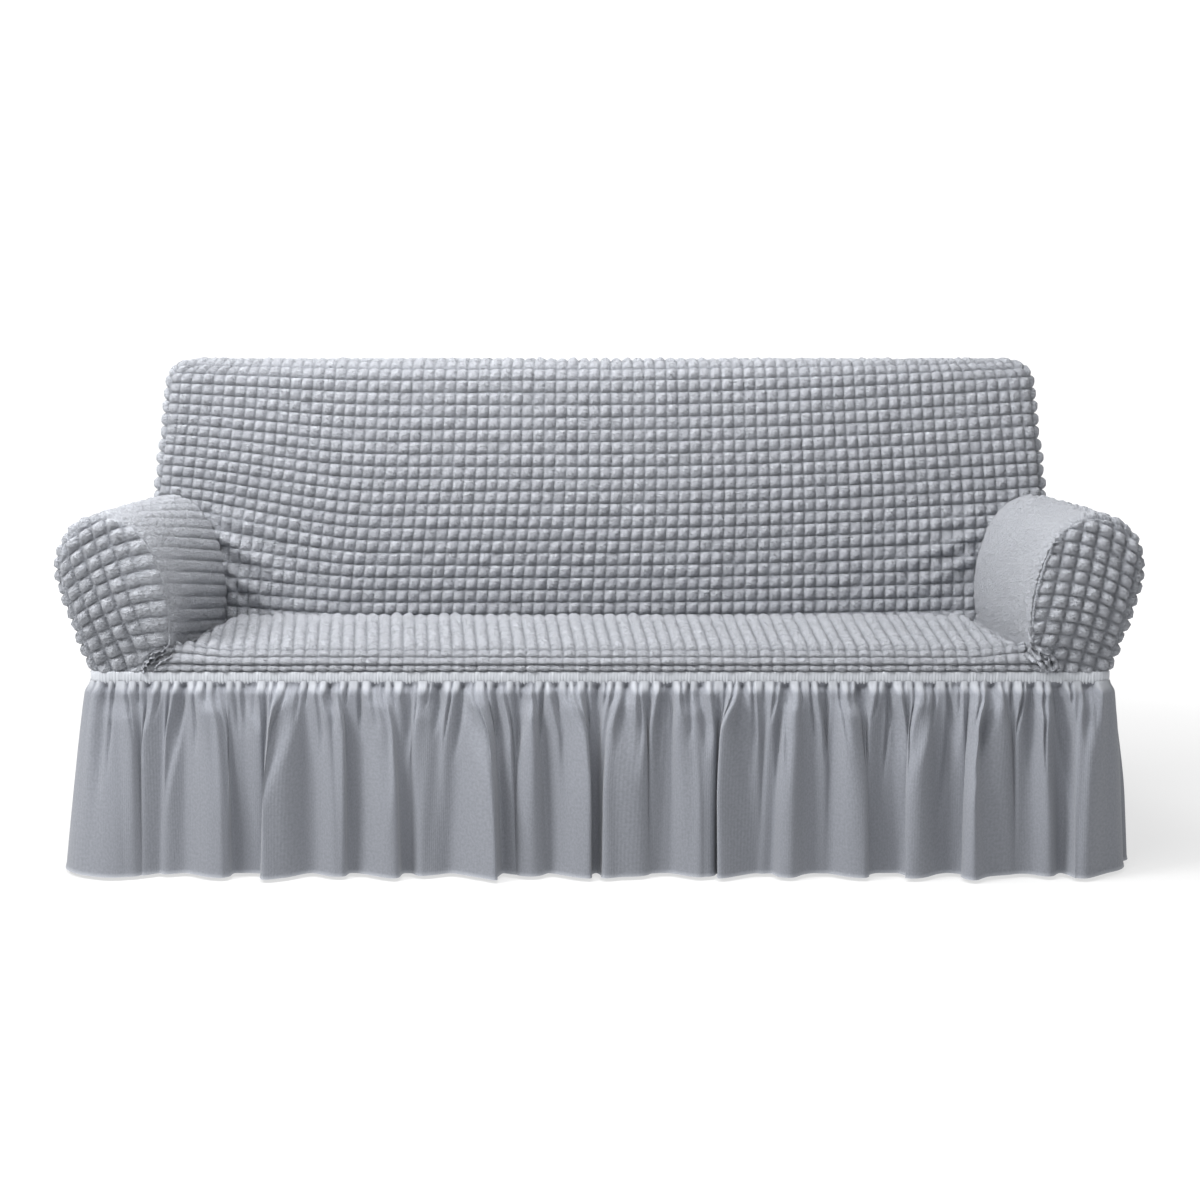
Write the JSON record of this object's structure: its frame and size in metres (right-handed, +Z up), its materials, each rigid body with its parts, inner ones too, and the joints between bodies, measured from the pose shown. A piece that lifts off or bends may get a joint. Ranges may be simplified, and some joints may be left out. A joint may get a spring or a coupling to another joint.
{
  "type": "fitted sofa slipcover",
  "caption": "Stretch bubble-check slipcover for a three-seat rolled-arm sofa, with fitted back, seat and arm pieces, an elastic waistband and a gathered skirt.",
  "frame": {"origin": "on the floor, under the middle of the cover", "axes": "+X to the right of someone who faces the cover, +Y from its front to its back, +Z up"},
  "size_m": [2.055, 0.9671, 0.9672],
  "materials": {
    "bubble_cloth": "matte puckered stretch check, light cool grey",
    "shirred_elastic": "matte, finely gathered",
    "ribbed_skirt_cloth": "matte plain cloth with fine upright ribs"
  },
  "bodies": {
    "root": {"inside_back": "bubble_cloth", "outside_back": "bubble_cloth", "back_gusset_left": "bubble_cloth", "back_gusset_right": "bubble_cloth", "seat": "bubble_cloth", "arm_sleeve_left": "bubble_cloth", "arm_sleeve_right": "bubble_cloth", "arm_front_left": "bubble_cloth", "arm_front_right": "bubble_cloth", "waistband": "shirred_elastic", "skirt_front": "ribbed_skirt_cloth", "skirt_right": "ribbed_skirt_cloth", "skirt_back": "ribbed_skirt_cloth", "skirt_left": "ribbed_skirt_cloth"}
  },
  "joints": []
}
